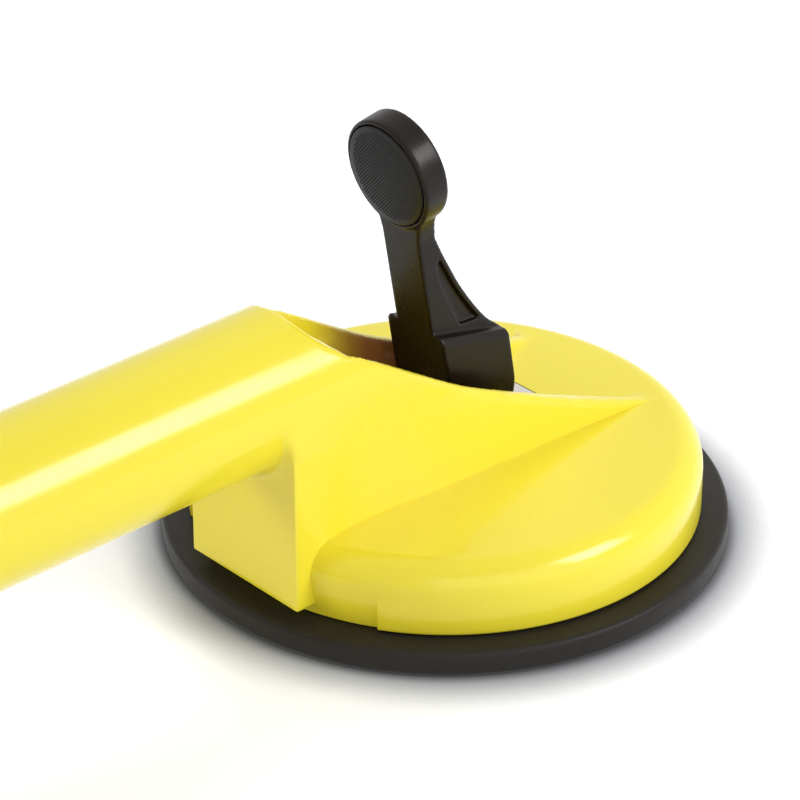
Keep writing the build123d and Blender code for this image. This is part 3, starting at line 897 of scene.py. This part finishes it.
class LIFTER_OT_cam_levers(bpy.types.Operator):
    """Cam levers: forked block, fluted shank and thumb disc"""
    bl_idname = "lifter.cam_levers"
    bl_label = "Cam Levers"

    def execute(self, context):
        # Block, shank and thumb disc, joined
        start, end = (LEVER_BACK, BLOCK_BACK_TOP), (-NECK_BACK, NECK_TOP)
        back = fair_line(between(start, end, SHANK_BACK_SHARES), 4)
        shank = [
            (-LEVER_FRONT, FORK_TOP), (LEVER_BACK - OVERRUN, FORK_TOP), *back,
            (-NECK_BACK, DISC_CENTRE), (-LEVER_FRONT, DISC_CENTRE),
        ]
        throat = fair_line(THROAT, 5)
        throat += [(-y, z) for y, z in reversed(throat)]
        disc = oval(DISC_HALF_WIDTH, DISC_HALF_HEIGHT, DISC_CENTRE)
        rim = prism(disc, "x", DISC_FRONT, DISC_FRONT + DISC_THICKNESS)
        bevel(rim, sharp_edges(rim), DISC_EDGE, 2)
        lever = as_object("lever_shape", self.cam_block())
        combine(lever, prism(shank, "y", -SHANK_HALF_WIDTH, SHANK_HALF_WIDTH), "UNION")
        combine(lever, prism(throat, "x", -LEVER_FRONT, -NECK_BACK), "UNION")
        combine(lever, rim, "UNION")

        # Recess for the thumb pad, flutes, fork and bore
        margin = PAD_MARGIN - PAD_GAP
        recess = oval(DISC_HALF_WIDTH - margin, DISC_HALF_HEIGHT - margin, DISC_CENTRE)
        combine(lever, prism(recess, "x", DISC_FRONT - OVERRUN, DISC_FRONT + PAD_RECESS))
        rib = [(x - FLUTE_RIB, z) for x, z in back if FLUTE_SPAN[0] < z < FLUTE_SPAN[1]]
        flute = rib + fair_line(FLUTE_FRONT)[::-1]
        for side in (1, -1):
            depths = (side * (SHANK_HALF_WIDTH - FLUTE_DEPTH), side * (SHANK_HALF_WIDTH + OVERRUN))
            combine(lever, prism(flute, "y", min(depths), max(depths)))
        fork = [
            (-FORK_REACH, -FORK_REACH), (FORK_REACH, -FORK_REACH),
            (FORK_REACH, FORK_TOP), (-FORK_REACH, FORK_TOP),
        ]
        combine(lever, prism(fork, "y", -FORK_HALF_WIDTH, FORK_HALF_WIDTH))
        combine(lever, prism(oval(PIN_BORE, PIN_BORE, 0, 48), "y", -BORE_REACH, BORE_REACH))
        fuse(lever, context.scene.lifter_sizes.lever_grain)
        soften(lever, rounds=2, fairing=4)
        shape = take_shape(lever)
        lean_lever(shape)
        material = satin_plastic("lever_black", tuple(context.scene.lifter_finishes.lever))
        for letter, place in CUPS.items():
            copy = as_object(f"cam_lever_{letter}_moulding", shape.copy())
            copy.data.transform(place)
            shade(copy, LEVER_SHARP_ANGLE)
            finish(copy, material, f"cam_lever_{letter}", [f"lever_{letter}"])
        shape.free()
        return {"FINISHED"}

    def cam_block(self):
        """The block, whose cam lifts the pivot by the same amount for each degree of the swing."""
        cam = []
        for step in range(CAM_STEPS + 1):
            turn = SWING * step / CAM_STEPS
            down = turn - LEAN
            out = CAM_REST + CAM_RATE * turn
            cam.append((
                out * math.sin(down) + CAM_RATE * math.cos(down),
                -out * math.cos(down) + CAM_RATE * math.sin(down),
            ))
        heel = -(CAM_REST - LEVER_FRONT * math.sin(LEAN)) / math.cos(LEAN)
        outline = [
            (-LEVER_FRONT, heel), *cam,
            (LEVER_BACK, BLOCK_BACK_TOP), (-LEVER_FRONT, BLOCK_FRONT_TOP),
        ]
        block = prism(outline, "y", -BLOCK_HALF_WIDTH, BLOCK_HALF_WIDTH)
        ledge = [
            e for e in block.edges
            if abs(e.verts[0].co.y - e.verts[1].co.y) < 1e-6
            and min(v.co.z for v in e.verts) > BLOCK_BACK_TOP - 0.1
        ]
        bevel(block, ledge, LEDGE_EDGE, 1)
        return block


class LIFTER_OT_thumb_pads(bpy.types.Operator):
    """Dotted round inserts under the thumb"""
    bl_idname = "lifter.thumb_pads"
    bl_label = "Thumb Pads"

    def execute(self, context):
        half_width = DISC_HALF_WIDTH - PAD_MARGIN
        half_height = DISC_HALF_HEIGHT - PAD_MARGIN
        front = DISC_FRONT - PAD_PROUD
        bm = prism(oval(half_width, half_height, DISC_CENTRE), "x", front, DISC_FRONT + PAD_RECESS)
        bevel(bm, sharp_edges(bm), PAD_EDGE, 3)
        turn = Matrix.Rotation(-math.pi / 2, 4, "Y")
        rows = int(half_height / DOT_PITCH * 2)
        for row in range(-rows, rows + 1):
            for column in range(-rows, rows + 1):
                y = (column + 0.5 * (row % 2)) * DOT_PITCH
                z = row * DOT_PITCH * 0.5
                if (y / (half_width - DOT_MARGIN)) ** 2 + (z / (half_height - DOT_MARGIN)) ** 2 > 1:
                    continue
                place = Matrix.Translation((front - DOT_LIFT, y, DISC_CENTRE + z)) @ turn
                bmesh.ops.create_cone(
                    bm, cap_ends=True, segments=6, radius1=DOT_BASE, radius2=DOT_TIP,
                    depth=DOT_DEPTH, matrix=place,
                )
        lean_lever(bm)
        material = satin_plastic("pad_black", tuple(context.scene.lifter_finishes.pad))
        for letter, place in CUPS.items():
            pad = as_object(f"thumb_pad_{letter}_dotted", bm.copy())
            pad.data.transform(place)
            shade(pad)
            finish(pad, material, f"cam_lever_{letter}", [f"thumb_pad_{letter}"])
        bm.free()
        return {"FINISHED"}


class LIFTER_OT_hardware(bpy.types.Operator):
    """Finishes of the steel and nylon parts, which keep their CAD shapes"""
    bl_idname = "lifter.hardware"
    bl_label = "Hardware Finishes"

    def execute(self, context):
        finishes = context.scene.lifter_finishes
        steel = zinc_plated("zinc_plated", tuple(finishes.steel))
        nylon = natural_nylon("natural_nylon", tuple(finishes.nylon))
        for letter in CUPS:
            for name, material in (
                ("insert_plate", steel), ("stud_nut", steel), ("draw_stud", steel),
                ("pivot_pin", steel), ("wear_plate", steel), ("stud_guide", nylon),
            ):
                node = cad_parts[f"{name}_{letter}"]
                node.data.materials.clear()
                node.data.materials.append(material)
        return {"FINISHED"}


class LIFTER_OT_studio(bpy.types.Operator):
    """Pale floor, soft lights and the camera"""
    bl_idname = "lifter.studio"
    bl_label = "Studio"

    def execute(self, context):
        scene = context.scene
        studio = scene.lifter_studio
        bm = bmesh.new()
        bmesh.ops.create_grid(bm, x_segments=1, y_segments=1, size=FLOOR_HALF_SIZE)
        bmesh.ops.translate(bm, verts=bm.verts, vec=(0, 0, -FLOOR_DROP))
        floor = as_object("studio_floor", bm)
        floor.data.materials.append(self.floor_paint())
        scene.world = self.room(studio.room_level)
        for name, azimuth, height, distance, width, length, level, mirrored in SOFTBOXES:
            light = bpy.data.lights.new(name, "AREA")
            light.shape = "RECTANGLE"
            light.size, light.size_y = width, length
            light.energy = LAMP_WATTS * width * length * level * studio.lamp_level
            lamp = bpy.data.objects.new(name, light)
            scene.collection.objects.link(lamp)
            a, e = math.radians(azimuth), math.radians(height)
            way = Vector((math.cos(a) * math.cos(e), math.sin(a) * math.cos(e), math.sin(e)))
            lamp.location = LIT_POINT + way * distance
            lamp.rotation_mode = "QUATERNION"
            lamp.rotation_quaternion = (-way).to_track_quat("-Z", "Y")
            lamp.visible_glossy = mirrored

        camera = bpy.data.objects.new("camera", bpy.data.cameras.new("camera"))
        scene.collection.objects.link(camera)
        camera.data.sensor_width = SENSOR_WIDTH
        camera.data.lens = studio.lens
        camera.data.clip_start, camera.data.clip_end = CLIP
        camera.location = studio.camera_place
        a, e = studio.camera_azimuth, studio.camera_fall
        ahead = Vector((math.sin(a) * math.cos(e), math.cos(a) * math.cos(e), -math.sin(e)))
        camera.rotation_mode = "QUATERNION"
        camera.rotation_quaternion = ahead.to_track_quat("-Z", "Y")
        scene.camera = camera
        scene.view_settings.view_transform = "Standard"
        return {"FINISHED"}

    def seen_directly(self, tree):
        """1 for rays from the camera, in a reflection or through glass, else 0."""
        path = tree.nodes.new("ShaderNodeLightPath")
        most = path.outputs["Is Camera Ray"]
        for ray in ("Is Glossy Ray", "Is Transmission Ray"):
            either = tree.nodes.new("ShaderNodeMath")
            either.operation = "MAXIMUM"
            tree.links.new(most, either.inputs[0])
            tree.links.new(path.outputs[ray], either.inputs[1])
            most = either.outputs[0]
        return most

    def floor_paint(self):
        """White floor that keeps the shadows, drawn darker near the object for the camera alone."""
        material = bpy.data.materials.new("white_floor")
        material.use_nodes = True
        tree = material.node_tree
        tree.nodes.clear()
        output = tree.nodes.new("ShaderNodeOutputMaterial")
        nearness = tree.nodes.new("ShaderNodeAmbientOcclusion")
        nearness.inputs["Distance"].default_value = SHADOW_REACH
        tones = tree.nodes.new("ShaderNodeValToRGB")
        spread_stops(tones, [(place, shade_of(FLOOR_COLOUR, tone)) for place, tone in SHADOW_TONES])
        paint = tree.nodes.new("ShaderNodeBsdfDiffuse")
        glow = tree.nodes.new("ShaderNodeEmission")
        strength = tree.nodes.new("ShaderNodeMath")
        strength.operation = "MULTIPLY"
        strength.inputs[1].default_value = FLOOR_GLOW
        both = tree.nodes.new("ShaderNodeAddShader")
        shown = tree.nodes.new("ShaderNodeMix")
        shown.data_type = "RGBA"
        shown.inputs[MIX_FIRST].default_value = (*FLOOR_COLOUR, 1)
        path = tree.nodes.new("ShaderNodeLightPath")
        for source, target in (
            (path.outputs["Is Camera Ray"], shown.inputs["Factor"]),
            (tones.outputs["Color"], shown.inputs[MIX_SECOND]),
            (nearness.outputs["AO"], tones.inputs["Fac"]),
            (shown.outputs[MIX_RESULT], paint.inputs["Color"]),
            (shown.outputs[MIX_RESULT], glow.inputs["Color"]),
            (self.seen_directly(tree), strength.inputs[0]),
            (strength.outputs[0], glow.inputs["Strength"]),
            (paint.outputs[0], both.inputs[0]),
            (glow.outputs[0], both.inputs[1]),
            (both.outputs[0], output.inputs["Surface"]),
        ):
            tree.links.new(source, target)
        return material

    def room(self, level):
        """Even light from all round, in front of a white backdrop."""
        world = bpy.data.worlds.new("soft_room")
        world.use_nodes = True
        tree = world.node_tree
        light = tree.nodes["Background"]
        light.inputs["Color"].default_value = (1, 1, 1, 1)
        light.inputs["Strength"].default_value = level
        backdrop = tree.nodes.new("ShaderNodeBackground")
        backdrop.inputs["Color"].default_value = (1, 1, 1, 1)
        mix = tree.nodes.new("ShaderNodeMixShader")
        tree.links.new(self.seen_directly(tree), mix.inputs[0])
        tree.links.new(light.outputs[0], mix.inputs[1])
        tree.links.new(backdrop.outputs[0], mix.inputs[2])
        tree.links.new(mix.outputs[0], tree.nodes["World Output"].inputs["Surface"])
        return world


STEPS = (
    LIFTER_OT_moulded_body, LIFTER_OT_grip_cover, LIFTER_OT_suction_discs,
    LIFTER_OT_cam_levers, LIFTER_OT_thumb_pads, LIFTER_OT_hardware, LIFTER_OT_studio,
)


class LIFTER_PT_panel(bpy.types.Panel):
    """Sidebar panel of the suction lifter"""
    bl_label = "Suction Lifter"
    bl_idname = "LIFTER_PT_panel"
    bl_space_type = "VIEW_3D"
    bl_region_type = "UI"
    bl_category = "Suction Lifter"

    def draw(self, context):
        layout = self.layout
        for settings in GROUPS:
            group = getattr(context.scene, settings)
            box = layout.box()
            for name in group.__annotations__:
                box.prop(group, name)
        for step in STEPS:
            layout.operator(step.bl_idname)


GROUPS = {
    "lifter_sizes": LifterSizes,
    "lifter_finishes": LifterFinishes,
    "lifter_studio": LifterStudio,
}


def register():
    for group in (*GROUPS.values(), *STEPS, LIFTER_PT_panel):
        bpy.utils.register_class(group)
    for name, group in GROUPS.items():
        setattr(bpy.types.Scene, name, bpy.props.PointerProperty(type=group))


def unregister():
    for name in GROUPS:
        delattr(bpy.types.Scene, name)
    for group in (LIFTER_PT_panel, *reversed(STEPS), *reversed(GROUPS.values())):
        bpy.utils.unregister_class(group)


def main():
    register()
    for step in STEPS:
        kind, name = step.bl_idname.split(".")
        getattr(getattr(bpy.ops, kind), name)()


if __name__ == "__main__":
    main()
